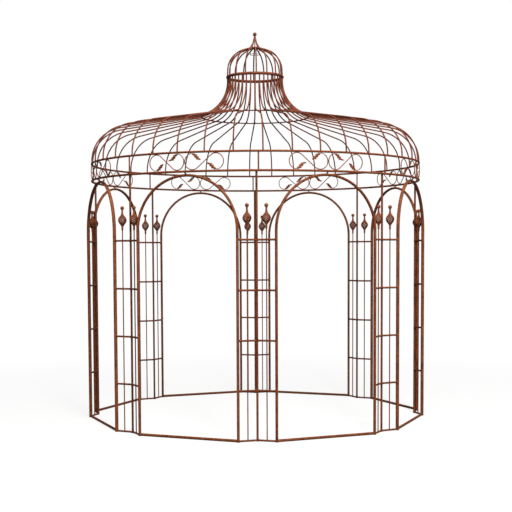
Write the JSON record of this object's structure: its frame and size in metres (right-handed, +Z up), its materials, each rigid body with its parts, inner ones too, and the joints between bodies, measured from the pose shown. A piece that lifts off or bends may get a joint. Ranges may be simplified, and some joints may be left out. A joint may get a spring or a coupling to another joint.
{
  "type": "round wrought-iron garden gazebo",
  "caption": "Round open garden pavilion of rusted steel tube and rod: arched bays around a circle, scroll frieze between two rings and an open bell dome with a lantern.",
  "frame": {"origin": "on the ground at the centre of the circle of pillars", "axes": "+Z up; -Y through the pillar numbered 1; pillars numbered anticlockwise seen from above"},
  "size_m": [3.0882, 3.0882, 3.5344],
  "materials": {
    "frame_tube": "rusted, matt",
    "trellis_bar": "rusted, matt",
    "forged_ornament": "rusted, matt",
    "roof_rod": "rusted, matt"
  },
  "bodies": {
    "root": {"bay_frame_1": "frame_tube", "bay_frame_2": "frame_tube", "bay_frame_3": "frame_tube", "bay_frame_4": "frame_tube", "bay_frame_5": "frame_tube", "bay_frame_6": "frame_tube", "bay_frame_7": "frame_tube", "bay_frame_8": "frame_tube", "trellis_1": "trellis_bar", "trellis_2": "trellis_bar", "trellis_3": "trellis_bar", "trellis_4": "trellis_bar", "trellis_5": "trellis_bar", "trellis_6": "trellis_bar", "trellis_7": "trellis_bar", "trellis_8": "trellis_bar", "basket_finials": "forged_ornament", "lower_ring": "frame_tube", "frieze_1": "forged_ornament", "frieze_2": "forged_ornament", "frieze_3": "forged_ornament", "frieze_4": "forged_ornament", "frieze_5": "forged_ornament", "frieze_6": "forged_ornament", "frieze_7": "forged_ornament", "frieze_8": "forged_ornament", "upper_ring": "frame_tube", "roof_ribs_1": "roof_rod", "roof_ribs_2": "roof_rod", "roof_ribs_3": "roof_rod", "roof_ribs_4": "roof_rod", "roof_ribs_5": "roof_rod", "roof_ribs_6": "roof_rod", "roof_ribs_7": "roof_rod", "roof_ribs_8": "roof_rod", "neck_hoop": "roof_rod", "collar_ring": "roof_rod", "lantern_ribs": "roof_rod", "crown_ring": "roof_rod", "roof_finial": "roof_rod"}
  },
  "joints": []
}
